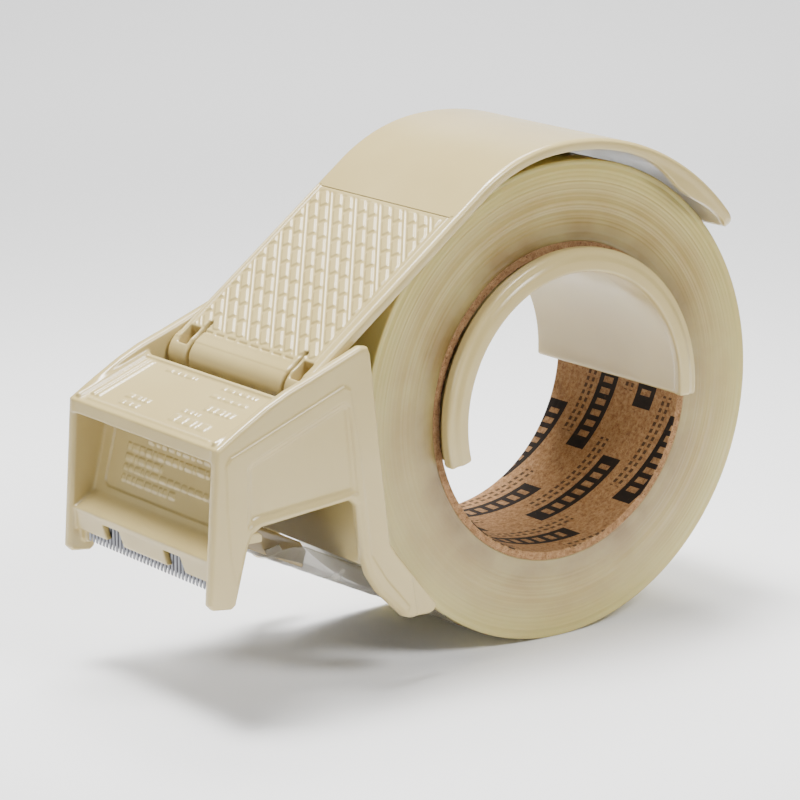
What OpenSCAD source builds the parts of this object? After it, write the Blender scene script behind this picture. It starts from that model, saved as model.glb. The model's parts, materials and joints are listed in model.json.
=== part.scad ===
// Hand-held box-sealing tape dispenser. A cutter head with side walls, a toothed blade and
// a tape comb hinges on a moulded handle: a broad cover over the roll, a side arm and a
// C-shaped hub. The hub carries a roll of packaging tape wound on a cardboard core.
// Every profile is drawn in the X-Z plane about the roll's axis, with the head towards -X,
// and in_place() then sets the part down with its origin at the middle of its base.

/* [Tape roll] */
// Outside radius of the wound tape
roll_r = 60.5; // [56:0.1:60.6]
// Half of the tape's width
tape_half = 24; // [22:0.1:24.3]
// Inside radius of the cardboard core, a three-inch core
core_r = 38.1; // [38:0.1:38.6]
// Wall of the cardboard core
core_wall = 2.15; // [1.5:0.05:3]
// Thickness given to the loose end of tape
film = 0.3; // [0.2:0.05:0.5]
// Downward slope of the loose end of tape, in degrees
film_slope = 25.3; // [24.5:0.1:26]

/* [Hub] */
// Outside radius of the C-shaped hub
hub_r = 37.3; // [36.8:0.1:37.4]
// Wall of the hub
hub_wall = 3; // [2.4:0.1:3.4]
// How far the hub sits to the rear of and below the core's centre
hub_drop = 0.3; // [0:0.05:0.35]
// First angle of the hub's arc, measured from +X towards +Z
hub_from = -4; // [-10:1:5]
// Last angle of the hub's arc
hub_to = 195; // [185:1:205]
// Outside radius of the lip that keeps the core on the hub
lip_r = 39.6; // [39:0.1:40]
// Distance from the middle plane to the hub's open end
hub_end = 29.7; // [28.6:0.1:30.5]
// Thickness of the side arm
arm_t = 2.9; // [2.4:0.1:3]

/* [Cover] */
// Outside radius of the cover where it follows the roll
cover_r = 66.1; // [65.8:0.1:67]
// Thickness of the cover
cover_t = 2.5; // [2:0.1:2.8]
// Half of the cover's width
cover_half = 28.4; // [28:0.1:28.5]
// Slope of the cover's straight grip, in degrees
grip_slope = 37.35; // [36.5:0.05:38]
// Distance from the roll's axis to the outside of the straight grip
grip_off = 63; // [62.8:0.1:63.2]
// Radius of the bend between the grip and the arc over the roll
bend_r = 45; // [42:1:48]
// Angle at which the cover's sides end, measured from +X
tail_side = 40; // [39:0.5:42]
// Angle at which the middle of the cover's tail ends
tail_mid = 36.3; // [36:0.1:37]

/* [Hinge] */
// Distance along the grip from its foot point back to the hinge axis
pin_s = 52.1; // [51.5:0.1:52.6]
// Outside radius of the hinge barrel and clips
barrel_r = 5.5; // [5:0.1:5.6]
// Radius of the hinge pin
pin_r = 2; // [1.8:0.05:2.2]
// Radial running clearance between the pin and the barrel
pin_gap = 0.08; // [0.03:0.01:0.1]
// Half of the barrel's length
barrel_half = 19.3; // [18.5:0.1:19.6]
// Distance from the middle plane to the inner end of each clip
clip_in = 20.6; // [20.4:0.1:21]

/* [Cutter head] */
// Half of the head's width over its side walls
head_half = 32.4; // [32.4:0.1:33]
// Thickness of a side wall
wall_t = 3.2; // [2.8:0.1:3.2]
// Depth of the shallow panel in a side wall's outer face
panel_depth = 0.9; // [0.4:0.1:1.2]
// Foremost point of the front legs
front_x = -110.4; // [-111:0.1:-110.2]
// Thickness of the head's plates
plate_t = 2.2; // [1.8:0.1:2.4]
// Thickness of the steel blade
blade_t = 0.6; // [0.5:0.05:0.8]
// Distance between the blade's teeth
tooth_pitch = 1.5; // [1.2:0.1:1.8]
// Height of the blade's teeth
tooth_h = 2; // [1.5:0.1:2.2]
// Distance between the comb's ribs
rib_pitch = 3; // [2.8:0.1:3.2]
// Thickness of a rib of the comb
rib_t = 1.4; // [1:0.1:1.6]
// Number of ribs in the comb
rib_count = 13; // [11:2:15]

/* [Hidden] */
$fn = 96;
// A length that reaches past every part
far = 200;
eps = 0.01;
wall_in = head_half - wall_t;
cover_in = cover_r - cover_t;
arm_in = cover_half - arm_t;
// The bend touches the straight grip and the arc over the roll: centre and touching angles.
bend_s = sqrt(pow(cover_r - bend_r, 2) - pow(grip_off - bend_r, 2));
bend_x = cos(grip_slope) * bend_s - sin(grip_slope) * (grip_off - bend_r);
bend_z = sin(grip_slope) * bend_s + cos(grip_slope) * (grip_off - bend_r);
arc_to = atan2(bend_z, bend_x);
grip_angle = 90 + grip_slope;
// Hinge axis
pin_n = grip_off - barrel_r;
pin_x = -cos(grip_slope) * pin_s - sin(grip_slope) * pin_n;
pin_z = -sin(grip_slope) * pin_s + cos(grip_slope) * pin_n;
// Skirt at the tail: the disc whose edge cuts its scalloped lower line
scallop_x = 71.8;
scallop_z = 109;
scallop_r = 69.7;
skirt_t = 2.2;
origin_x = (front_x + roll_r) / 2;
beige = [0.82, 0.75, 0.6];
beige_dark = [0.72, 0.65, 0.5];
steel = [0.62, 0.64, 0.66];
kraft = [0.62, 0.46, 0.33];
tape_tint = [0.78, 0.72, 0.5];
film_tint = [0.85, 0.85, 0.8];

// Outline of a side wall: top edge, rear edge, rear foot, arch and front leg.
wall_outline = [
    [-108, 6.2], [-101.4, 10.2], [-94, 14.4], [-88.4, 17], [-82, 19.3], [-67.3, 24.9],
    [-65.2, 24.6], [-64.4, 22.6], [-61.7, 0], [-60.2, -12], [-58.6, -24.4], [-52.2, -32.6],
    [-44.4, -42], [-45, -43.6], [-46.6, -44.1], [-52.6, -44], [-54.7, -43.3], [-57.3, -40.8],
    [-62.2, -36], [-65.2, -31.4], [-66.8, -26.6], [-68.7, -13.4], [-70.6, -11.8],
    [-95.6, -14], [-98.2, -15.4], [-99.4, -18], [-103, -31.4], [-104.2, -32.3],
    [-109.2, -31.7], [front_x, -30.4]
];
// Outline of the shallow panel in a side wall.
panel_outline = [
    [-99.6, 0.6], [-98.4, 2], [-72.6, 12.2], [-70.9, 11.2], [-68.6, -10.2], [-96.4, -12.4],
    [-99.8, -13.4]
];
// Window's back panel, ledge and blade lip, each a line of its front face.
back_top = [-96.9, 7.6];
back_foot = [-103.2, -17.2];
ledge_front = [-108.8, -20.3];
lip_foot = [-108.4, -25.8];
lip_t = 1.4;
blade_top = -21.8;
blade_tip = -28.8;
// Top plate: its front and rear edges on the upper face.
plate_front = [-108, 6.2];
plate_rear = [-86.4, 14.3];
beam_foot = 3.1;

// Sets the part down on its base with the origin in the middle.
module in_place() translate([-origin_x, 0, roll_r]) children();

// Draws an X-Z profile and gives it the stretch from y0 to y1.
module across(y0, y1) {
    translate([0, y1, 0]) rotate([90, 0, 0]) linear_extrude(y1 - y0) children();
}

// A profile drawn along the grip: x runs up its slope and y is 0 on its outer face.
module on_grip() rotate(grip_slope) translate([0, grip_off]) children();

module wedge(a0, a1) {
    step = (a1 - a0) / 8;
    polygon([[0, 0], for (i = [0:8]) far * [cos(a0 + i * step), sin(a0 + i * step)]]);
}

module ring_sector(outer, inner, a0, a1) {
    intersection() {
        difference() {
            circle(outer);
            circle(inner);
        }
        wedge(a0, a1);
    }
}

// A bar of the given thickness below or behind the line from a to b.
module slab(a, b, t) {
    run = b - a;
    across_run = [run[1], -run[0]] / norm(run) * t;
    polygon([a, b, b + across_run, a + across_run]);
}

// ---- Handle: cover, hinge clips, side arm and hub ----

module cover_shell() in_place() color(beige) {
    across(-cover_half, cover_half) ring_sector(cover_r, cover_in, tail_side + 5, arc_to);
}

module cover_bend() in_place() color(beige) {
    across(-cover_half, cover_half) translate([bend_x, bend_z]) {
        ring_sector(bend_r, bend_r - cover_t, arc_to, grip_angle);
    }
}

module grip_panel() in_place() color(beige) {
    slot = clip_in - barrel_half;
    difference() {
        across(-cover_half, cover_half) on_grip() difference() {
            translate([-pin_s, -cover_t]) square([pin_s + bend_s, cover_t]);
            translate([-pin_s, -barrel_r]) circle(barrel_r);
        }
        for (side = [-1, 1]) rotate([0, -grip_slope, 0]) {
            translate([-pin_s + 3, side * (barrel_half + slot / 2), grip_off]) {
                cube([9, slot, far / 10], center = true);
            }
        }
    }
}

module tail_skirt() {
    fine = 720;
    intersection() {
        circle(cover_in, $fn = fine);
        translate([scallop_x, scallop_z]) circle(scallop_r, $fn = fine);
        wedge(tail_side + 5, 75);
    }
}

module right_tail_skirt() in_place() color(beige) {
    across(-cover_half, skirt_t - cover_half) tail_skirt();
}

module left_tail_skirt() in_place() color(beige) {
    across(cover_half - skirt_t, cover_half) tail_skirt();
}

// The tail's corners are round in plan: the middle reaches further down than the sides.
module cover_tail() in_place() color(beige) {
    corner = 5;
    tail_len = cover_r * (tail_side + 5 - tail_mid) * PI / 180;
    intersection() {
        across(-cover_half, cover_half) {
            ring_sector(cover_r, cover_in - 0.6, tail_mid, tail_side + 5);
        }
        rotate([0, -(tail_mid + 90), 0]) translate([0, 0, -far]) linear_extrude(far) {
            translate([corner, -cover_half + corner]) circle(corner);
            translate([corner, cover_half - corner]) circle(corner);
            translate([corner, -cover_half]) square([2 * tail_len, 2 * cover_half]);
            translate([0, corner - cover_half]) square([far / 10, 2 * (cover_half - corner)]);
        }
    }
}

module hinge_barrel() in_place() color(beige) {
    across(-barrel_half, barrel_half) on_grip() translate([-pin_s, -barrel_r]) difference() {
        circle(barrel_r);
        circle(pin_r + pin_gap);
    }
}

// A clip wraps the pin from above and leaves a mouth below, with a window in its crown.
module hinge_clip(side) {
    window = [4.4, 4.6];
    mouth = 2 * pin_r - 0.4;
    y0 = side > 0 ? clip_in : -cover_half;
    difference() {
        across(y0, y0 + cover_half - clip_in) on_grip() translate([-pin_s, -barrel_r]) {
            difference() {
                circle(barrel_r);
                circle(pin_r + pin_gap);
                translate([0, -far]) square([mouth, far]);
            }
        }
        rotate([0, -grip_slope, 0]) {
            translate([-pin_s - 1.5, y0 + (cover_half - clip_in) / 2, grip_off]) {
                cube([window[0], window[1], 6], center = true);
            }
        }
    }
}

module right_hinge_clip() in_place() color(beige) hinge_clip(-1);

module left_hinge_clip() in_place() color(beige) hinge_clip(1);

module hub_place() translate([hub_drop, -hub_drop]) children();

// The arm closes the roll's far side from the cover down to the hub.
module arm_profile() {
    arm_from = 52;
    arm_to = 138;
    difference() {
        intersection() {
            union() {
                intersection() {
                    circle(cover_in);
                    wedge(arm_from, 100);
                }
                intersection() {
                    union() {
                        translate([bend_x, bend_z]) circle(bend_r - cover_t);
                        circle(grip_off - cover_t);
                    }
                    wedge(100 - eps, arm_to);
                }
            }
            wedge(arm_from, arm_to);
        }
        hub_place() circle(hub_r);
        tail_skirt();
    }
}

module side_arm() in_place() color(beige) {
    across(arm_in, cover_half) arm_profile();
}

// Stiffening ribs on the arm's inner face, inside the gap beside the roll.
module arm_ribs() in_place() color(beige) {
    rib_h = 0.8;
    for (a = [62, 82, 102, 122]) across(arm_in - rib_h, arm_in) rotate(a) {
        translate([hub_r + 2, -0.75]) square([20, 1.5]);
    }
}

module hub_tube() in_place() color(beige) {
    across(1 - hub_end, cover_half) hub_place() {
        ring_sector(hub_r, hub_r - hub_wall, hub_from, hub_to);
    }
}

module hub_lip() in_place() color(beige) {
    end_t = 4.2;
    across(-hub_end, 1 - hub_end) hub_place() {
        ring_sector(lip_r - 0.6, hub_r - hub_wall - 0.6, hub_from, hub_to);
    }
    across(1 - hub_end, 1 - hub_end + end_t - 1) hub_place() {
        ring_sector(lip_r, hub_r, hub_from, hub_to);
    }
}

// ---- Cutter head ----

module side_wall(side) {
    y0 = side > 0 ? wall_in : -head_half;
    skin = side > 0 ? head_half - panel_depth : -head_half - 1;
    difference() {
        across(y0, y0 + wall_t) polygon(wall_outline);
        across(skin, skin + panel_depth + 1) polygon(panel_outline);
        translate([pin_x, side * wall_in, pin_z]) rotate([90, 0, 0]) {
            cylinder(r = pin_r, h = 3, center = true);
        }
    }
}

module right_side_wall() in_place() color(beige) side_wall(-1);

module left_side_wall() in_place() color(beige) side_wall(1);

module top_plate() in_place() color(beige) {
    across(-wall_in, wall_in) difference() {
        slab(plate_front, plate_rear, plate_t);
        translate([plate_front[0] - 1, -far]) square([4, 2 * far]);
    }
}

module front_beam() in_place() color(beige) {
    beam_depth = 3;
    across(-wall_in, wall_in) polygon([
        plate_front, plate_front + [beam_depth, beam_depth * 0.375],
        [plate_front[0] + beam_depth, beam_foot], [plate_front[0] - 0.2, beam_foot]
    ]);
}

// The window's back panel leans forward at its foot and has a shallow rounded inset.
module window_panel() in_place() color(beige) {
    inset = 0.4;
    across(-wall_in, wall_in) slab(back_foot + [inset, 0], back_top + [inset, 0], plate_t - inset);
    lean = atan2(back_top[0] - back_foot[0], back_top[1] - back_foot[1]);
    panel_h = norm(back_top - back_foot);
    translate([back_foot[0], 0, back_foot[1]]) rotate([0, lean, 0]) difference() {
        translate([0, -wall_in, 0]) cube([inset, 2 * wall_in, panel_h]);
        translate([-1, 5 - wall_in, 2]) cube([inset + 2, 2 * wall_in - 10, panel_h]);
    }
}

module front_ledge() in_place() color(beige) {
    lean = back_top - back_foot;
    panel_heel = back_foot + [lean[1], -lean[0]] / norm(lean) * plate_t;
    across(-wall_in, wall_in) polygon([
        back_foot - [0, 0.05], ledge_front, ledge_front + [0.1, -0.9], [-106, -21.2],
        [-101.2, -19.2], panel_heel - [0, 0.05]
    ]);
}

// The lip in front of the blade, with two slanted notches that bare the steel.
module blade_lip() in_place() color(beige) {
    notch_w = 7.2;
    lean = 5;
    lip_top = ledge_front[1] - 0.9;
    difference() {
        across(-wall_in, wall_in) polygon([
            [ledge_front[0], lip_top], lip_foot, lip_foot + [lip_t, 0],
            [ledge_front[0] + lip_t + 0.4, lip_top]
        ]);
        for (y = [9.6, -16.8]) translate([ledge_front[0] - 1, y, lip_top - 1.2]) {
            rotate([90, 0, 90]) linear_extrude(4) polygon([
                [0, 0], [notch_w, 0], [notch_w - lean, -far / 20], [-lean, -far / 20]
            ]);
        }
    }
}

module cutter_blade() in_place() color(steel) {
    teeth = floor(2 * (wall_in - 2.6) / tooth_pitch);
    half = teeth * tooth_pitch / 2;
    translate([lip_foot[0] + lip_t, 0, 0]) rotate([90, 0, 90]) linear_extrude(blade_t) {
        polygon([
            [half, blade_top], [-half, blade_top],
            for (i = [0:teeth - 1]) each [
                [i * tooth_pitch - half, blade_tip + tooth_h],
                [(i + 0.5) * tooth_pitch - half, blade_tip]
            ],
            [half, blade_tip + tooth_h]
        ]);
    }
}

// A small cheek beside each end of the blade, which reaches just past the teeth.
module blade_guard(side) {
    guard_w = 2.3;
    y0 = side > 0 ? wall_in - guard_w : -wall_in;
    across(y0, y0 + guard_w) polygon([
        [-107, -21.3], [-107, -28.6], [-106, -29.6], [-103.6, -29.2], [-101.4, -20.6],
        [-102.4, -19.75], [-105.8, -21.2]
    ]);
}

module right_blade_guard() in_place() color(beige) blade_guard(-1);

module left_blade_guard() in_place() color(beige) blade_guard(1);

module comb_shelf() in_place() color(beige_dark) {
    across(-wall_in, wall_in) polygon([
        [-100.3, -18.1], [-100.3, -15.2], [-95.6, -15.4], [-94.5, -16.4], [-94.5, -18.1]
    ]);
}

// Ribs side by side: the adhesive side of the tape sticks only to their narrow edges.
module tape_comb() in_place() color(beige_dark) {
    first = -rib_pitch * (rib_count - 1) / 2;
    for (i = [0:rib_count - 1]) {
        y = first + i * rib_pitch;
        across(y - rib_t / 2, y + rib_t / 2) polygon([
            [-93.3, -20.6], [-94.5, -19.8], [-94.5, -16.6], [-90, -17], [-75.6, -24],
            [-73.8, -26.6], [-75, -30.5], [-89, -23.9], [-91.6, -22.6]
        ]);
    }
    across(first, -first) polygon([[-88.4, -18.3], [-83, -20.8], [-83, -22.8], [-88.4, -20.3]]);
}

// The wall between the head and the roll; the tape passes below its foot.
module rear_guard() in_place() color(beige) {
    across(-wall_in, wall_in) slab([-67.8, 5], [-64.2, -29.8], -plate_t);
}

module hinge_pin() in_place() color(beige_dark) {
    translate([pin_x, 0, pin_z]) rotate([90, 0, 0]) {
        cylinder(r = pin_r, h = 2 * (wall_in + 1.4), center = true);
    }
}

module hinge_boss(side) {
    boss_t = wall_in - cover_half - 0.3;
    y0 = side > 0 ? wall_in - boss_t : -wall_in;
    across(y0, y0 + boss_t) translate([pin_x, pin_z]) difference() {
        circle(4);
        circle(pin_r);
    }
}

module right_hinge_boss() in_place() color(beige) hinge_boss(-1);

module left_hinge_boss() in_place() color(beige) hinge_boss(1);

// The loose end of tape: straight off the roll, then up round the comb's nose.
module tape_tail() in_place() color(film_tint) {
    run = [cos(film_slope), -sin(film_slope)];
    out = [-sin(film_slope), -cos(film_slope)];
    off = roll_r + film;
    start = off * out - 2 * run;
    turn = off * out - 68.6 * run;
    across(-tape_half, tape_half) {
        polygon([start, turn, turn - film * out * 1, start - film * out]);
        polygon([turn, [-94, -22.4], [-94.2, -20.4], [-93.8, -20.4], [-93.6, -22.2],
            turn - film * out]);
    }
}

// ---- Roll of tape ----

module cardboard_core() in_place() color(kraft) {
    across(-tape_half, tape_half) difference() {
        circle(core_r + core_wall);
        circle(core_r);
    }
}

module wound_tape() in_place() color(tape_tint) {
    across(-tape_half, tape_half) difference() {
        circle(roll_r);
        circle(core_r + core_wall);
    }
}

cover_shell();
cover_bend();
grip_panel();
right_tail_skirt();
left_tail_skirt();
cover_tail();
hinge_barrel();
right_hinge_clip();
left_hinge_clip();
side_arm();
arm_ribs();
hub_tube();
hub_lip();
right_side_wall();
left_side_wall();
top_plate();
front_beam();
window_panel();
front_ledge();
blade_lip();
cutter_blade();
right_blade_guard();
left_blade_guard();
comb_shelf();
tape_comb();
rear_guard();
hinge_pin();
right_hinge_boss();
left_hinge_boss();
tape_tail();
cardboard_core();
wound_tape();
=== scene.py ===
"""Looks of a hand-held box-sealing tape dispenser, built around its CAD frame.

Shapes are written in millimetres from the roll's axis: x to the rear, y to the left, z up.
Moulded pieces are distance fields turned into meshes, so that every edge and joint is filleted.
"""

import itertools
import json
import math
import random

import bpy
import numpy as np
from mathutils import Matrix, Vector


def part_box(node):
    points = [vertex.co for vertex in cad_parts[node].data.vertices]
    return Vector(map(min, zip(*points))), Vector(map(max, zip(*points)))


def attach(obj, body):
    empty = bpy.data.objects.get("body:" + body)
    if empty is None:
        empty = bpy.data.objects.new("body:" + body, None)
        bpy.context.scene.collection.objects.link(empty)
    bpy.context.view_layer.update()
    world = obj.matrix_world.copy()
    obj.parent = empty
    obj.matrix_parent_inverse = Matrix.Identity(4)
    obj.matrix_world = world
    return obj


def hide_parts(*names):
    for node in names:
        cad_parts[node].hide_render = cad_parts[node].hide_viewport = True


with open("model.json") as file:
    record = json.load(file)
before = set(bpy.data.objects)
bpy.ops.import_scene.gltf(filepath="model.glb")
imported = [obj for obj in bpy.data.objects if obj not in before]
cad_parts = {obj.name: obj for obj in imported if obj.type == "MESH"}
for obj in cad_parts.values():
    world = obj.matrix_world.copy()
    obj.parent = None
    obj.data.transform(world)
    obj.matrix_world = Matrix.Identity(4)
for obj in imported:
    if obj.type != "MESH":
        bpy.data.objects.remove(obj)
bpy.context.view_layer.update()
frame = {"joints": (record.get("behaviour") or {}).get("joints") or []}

MM = 0.001
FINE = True
JOINTS = {joint["name"]: joint for joint in frame["joints"]}
AXIS = np.array(JOINTS["roll_spin"]["pos_m"])
HINGE = (np.array(JOINTS["head_hinge"]["pos_m"]) - AXIS) / MM


def span(node):
    """Lowest and highest corner of a CAD node, in mm from the roll's axis."""
    low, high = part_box(node)
    return (np.array(low) - AXIS) / MM, (np.array(high) - AXIS) / MM


def point(x, y, z):
    """A place given in mm from the roll's axis, in metres in the row frame."""
    return Vector(AXIS + np.array([x, y, z]) * MM)


# ---- Driving sizes, read from the frame ----

ROLL_R = span("wound_tape")[1][2]
TAPE_HALF = span("wound_tape")[1][1]
CORE_OUT = span("cardboard_core")[1][2]
CORE_WALL = 2.15
CORE_IN = CORE_OUT - CORE_WALL
COVER_R = span("cover_shell")[1][2]
COVER_HALF = span("cover_shell")[1][1]
COVER_T = 2.5
HEAD_HALF = span("left_side_wall")[1][1]
WALL_IN = span("left_side_wall")[0][1]
FRONT_X = span("left_side_wall")[0][0]
BARREL_R = (span("hinge_barrel")[1][2] - span("hinge_barrel")[0][2]) / 2
BARREL_HALF = span("hinge_barrel")[1][1]
CLIP_IN = span("left_hinge_clip")[0][1]
PIN_R = (span("hinge_pin")[1][2] - span("hinge_pin")[0][2]) / 2
ARM_IN = span("side_arm")[0][1]
HUB_END = span("hub_lip")[0][1]
BLADE_LOW, BLADE_HIGH = span("cutter_blade")
TOOTH_PITCH = 1.5

# The cover's profile: a straight grip, a bend and an arc over the roll.
GRIP_SLOPE = math.radians(37.35)
GRIP_OFF = 63.0
BEND_R = 45.0
BEND_S = math.sqrt((COVER_R - BEND_R) ** 2 - (GRIP_OFF - BEND_R) ** 2)
BEND_X = math.cos(GRIP_SLOPE) * BEND_S - math.sin(GRIP_SLOPE) * (GRIP_OFF - BEND_R)
BEND_Z = math.sin(GRIP_SLOPE) * BEND_S + math.cos(GRIP_SLOPE) * (GRIP_OFF - BEND_R)
ARC_FROM = math.atan2(BEND_Z, BEND_X)
BEND_FROM = math.pi / 2 + GRIP_SLOPE
TAIL_ANGLE = math.radians(36.3)
BEND_END_S = BEND_S + BEND_R * (BEND_FROM - ARC_FROM)
TAIL_S = BEND_END_S + COVER_R * (ARC_FROM - TAIL_ANGLE)
PIN_S = math.cos(GRIP_SLOPE) * HINGE[0] + math.sin(GRIP_SLOPE) * HINGE[2]
PIN_N = -math.sin(GRIP_SLOPE) * HINGE[0] + math.cos(GRIP_SLOPE) * HINGE[2] - GRIP_OFF


# ---- Distance fields ----


def polygon_distance(u, v, points):
    """Signed distance to a closed polygon, negative inside it."""
    shape = np.broadcast(u, v).shape
    nearest = np.full(shape, np.inf, np.float32)
    inside = np.zeros(shape, bool)
    for (au, av), (bu, bv) in zip(points, points[1:] + points[:1]):
        du = bu - au
        dv = bv - av
        share = np.clip(((u - au) * du + (v - av) * dv) / (du * du + dv * dv), 0, 1)
        gap = (u - au - share * du) ** 2 + (v - av - share * dv) ** 2
        nearest = np.minimum(nearest, gap)
        if av != bv:
            inside ^= ((av > v) != (bv > v)) & (u < au + (v - av) * du / dv)
    return np.sqrt(nearest) * np.where(inside, -1, 1).astype(np.float32)


def prism(flat, along, low, high, r):
    """A flat shape given depth from low to high, with its edges rounded by r."""
    a = flat + r
    b = np.abs(along - (low + high) / 2) - (high - low) / 2 + r
    return np.minimum(np.maximum(a, b), 0) + np.hypot(np.maximum(a, 0), np.maximum(b, 0)) - r


def block(u, v, u_low, u_high, v_low, v_high, r=0.0):
    """A rectangle with corners rounded by r."""
    a = np.abs(u - (u_low + u_high) / 2) - (u_high - u_low) / 2 + r
    b = np.abs(v - (v_low + v_high) / 2) - (v_high - v_low) / 2 + r
    return np.minimum(np.maximum(a, b), 0) + np.hypot(np.maximum(a, 0), np.maximum(b, 0)) - r


def join(a, b, k=0.6):
    """Union of two fields, with a fillet of about k where they meet."""
    share = np.clip(0.5 + 0.5 * (b - a) / k, 0, 1)
    return b * (1 - share) + a * share - k * share * (1 - share)


def cut(a, b, k=0.3):
    """Field a with b taken away, and the new edge eased by k."""
    return -join(-a, b, k)


def grid(low, high, step):
    """Open axes of a regular grid, and its origin and step."""
    axes = [np.arange(a, b + s, s, dtype=np.float32) for a, b, s in zip(low, high, step)]
    x = axes[0][:, None, None]
    y = axes[1][None, :, None]
    z = axes[2][None, None, :]
    return x, y, z, np.array(low), np.array(step)


def sample(field, place):
    """Trilinear values of a field at grid places."""
    just_over_one = 1.001
    top = np.array(field.shape) - just_over_one
    place = np.clip(place, 0, top)
    base = place.astype(int)
    share = place - base
    total = np.zeros(len(place))
    for corner in itertools.product((0, 1), repeat=3):
        weight = np.prod(np.where(corner, share, 1 - share), axis=1)
        total += weight * field[tuple((base + corner).T)]
    return total


def settle(field, place, step):
    """Moves grid places along the field's slope until they lie on its zero surface."""
    reach = 0.4
    rounds = 2
    flattest = 0.05
    furthest = 0.5
    nudge = np.eye(3) * reach
    for _ in range(rounds):
        slope = np.stack([
            (sample(field, place + e) - sample(field, place - e)) / (2 * reach * s)
            for e, s in zip(nudge, step)
        ], 1)
        size = np.maximum((slope ** 2).sum(1), flattest)
        move = np.clip(sample(field, place) / size, -furthest, furthest)
        place = place - move[:, None] * slope / step
    return place


def surface_nets(field, origin, step):
    """Vertices and quads of a field's zero surface, with one vertex in each cell it crosses."""
    inside = field < 0
    cells = [n - 1 for n in field.shape]
    corners = list(itertools.product((0, 1), repeat=3))
    count = np.zeros(cells, np.uint8)
    for i, j, k in corners:
        count += inside[i:i + cells[0], j:j + cells[1], k:k + cells[2]]
    crossed = np.argwhere((count > 0) & (count < 8))
    values = [field[tuple((crossed + corner).T)] for corner in corners]
    total = np.zeros((len(crossed), 3))
    hits = np.zeros(len(crossed))
    for a, b in itertools.combinations(range(8), 2):
        edge = np.subtract(corners[b], corners[a])
        if np.abs(edge).sum() != 1:
            continue
        hit = (values[a] < 0) != (values[b] < 0)
        share = np.where(hit, values[a] / np.where(hit, values[a] - values[b], 1), 0)
        total += hit[:, None] * (corners[a] + share[:, None] * edge)
        hits += hit
    place = settle(field, crossed + total / hits[:, None], step)
    index = np.full(cells, -1, np.int32)
    index[tuple(crossed.T)] = np.arange(len(crossed))
    quads = []
    for axis in range(3):
        quads.append(crossing_quads(inside, index, axis))
    return origin + place * step, np.concatenate(quads)


def crossing_quads(inside, index, axis):
    """One quad round each grid edge along axis that crosses the surface, facing outwards."""
    u = (axis + 1) % 3
    v = (axis + 2) % 3
    near = [slice(1, -1)] * 3
    near[axis] = slice(0, -1)
    far = list(near)
    far[axis] = slice(1, None)
    at = np.argwhere(inside[tuple(near)] != inside[tuple(far)])
    at[:, u] += 1
    at[:, v] += 1
    step_u = np.eye(3, dtype=int)[u]
    step_v = np.eye(3, dtype=int)[v]
    ring = [at - step_u - step_v, at - step_v, at, at - step_u]
    quads = np.stack([index[tuple(cell.T)] for cell in ring], 1)
    outward = inside[tuple(at.T)]
    return np.where(outward[:, None], quads, quads[:, ::-1])


# ---- Meshes ----


def add_mesh(name, verts, faces, body, material, nodes=()):
    """A smooth-shaded piece from vertices in mm about the roll's axis and equal-sided faces."""
    verts = AXIS + np.asarray(verts) * MM
    faces = np.asarray(faces, np.int32)
    sides = faces.shape[1]
    mesh = bpy.data.meshes.new(name)
    mesh.vertices.add(len(verts))
    mesh.vertices.foreach_set("co", verts.astype(np.float32).ravel())
    mesh.loops.add(faces.size)
    mesh.loops.foreach_set("vertex_index", faces.ravel())
    mesh.polygons.add(len(faces))
    mesh.polygons.foreach_set("loop_start", np.arange(len(faces), dtype=np.int32) * sides)
    mesh.update(calc_edges=True)
    mesh.validate()
    mesh.shade_smooth()
    mesh.materials.append(material)
    obj = bpy.data.objects.new(name, mesh)
    bpy.context.scene.collection.objects.link(obj)
    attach(obj, body)
    if nodes:
        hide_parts(*nodes)
    return obj


def lattice_faces(rows, columns, wrap_rows=False, wrap_columns=False):
    """Quads of a rows by columns lattice of vertices."""
    i = np.arange(rows if wrap_rows else rows - 1)
    j = np.arange(columns if wrap_columns else columns - 1)
    i, j = np.meshgrid(i, j, indexing="ij")
    after_i = (i + 1) % rows
    after_j = (j + 1) % columns
    row = i * columns
    next_row = after_i * columns
    corners = [row + j, next_row + j, next_row + after_j, row + after_j]
    return np.stack([corner.ravel() for corner in corners], 1)


def lathe(profile, turns=360):
    """Vertices and faces of a closed (y, radius) profile turned about the roll's axis."""
    angle = np.arange(turns) * 2 * math.pi / turns
    y = profile[:, 0][None, :] + 0 * angle[:, None]
    x = profile[:, 1][None, :] * np.cos(angle)[:, None]
    z = profile[:, 1][None, :] * np.sin(angle)[:, None]
    verts = np.stack([x, y, z], -1).reshape(-1, 3)
    return verts, lattice_faces(turns, len(profile), True, True)


# ---- Materials ----


def linear(r, g, b):
    """An sRGB colour, 0 to 255, as linear RGBA."""
    def channel(value):
        share = value / 255
        return share / 12.92 if share <= 0.04045 else ((share + 0.055) / 1.055) ** 2.4
    return (channel(r), channel(g), channel(b), 1.0)


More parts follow.
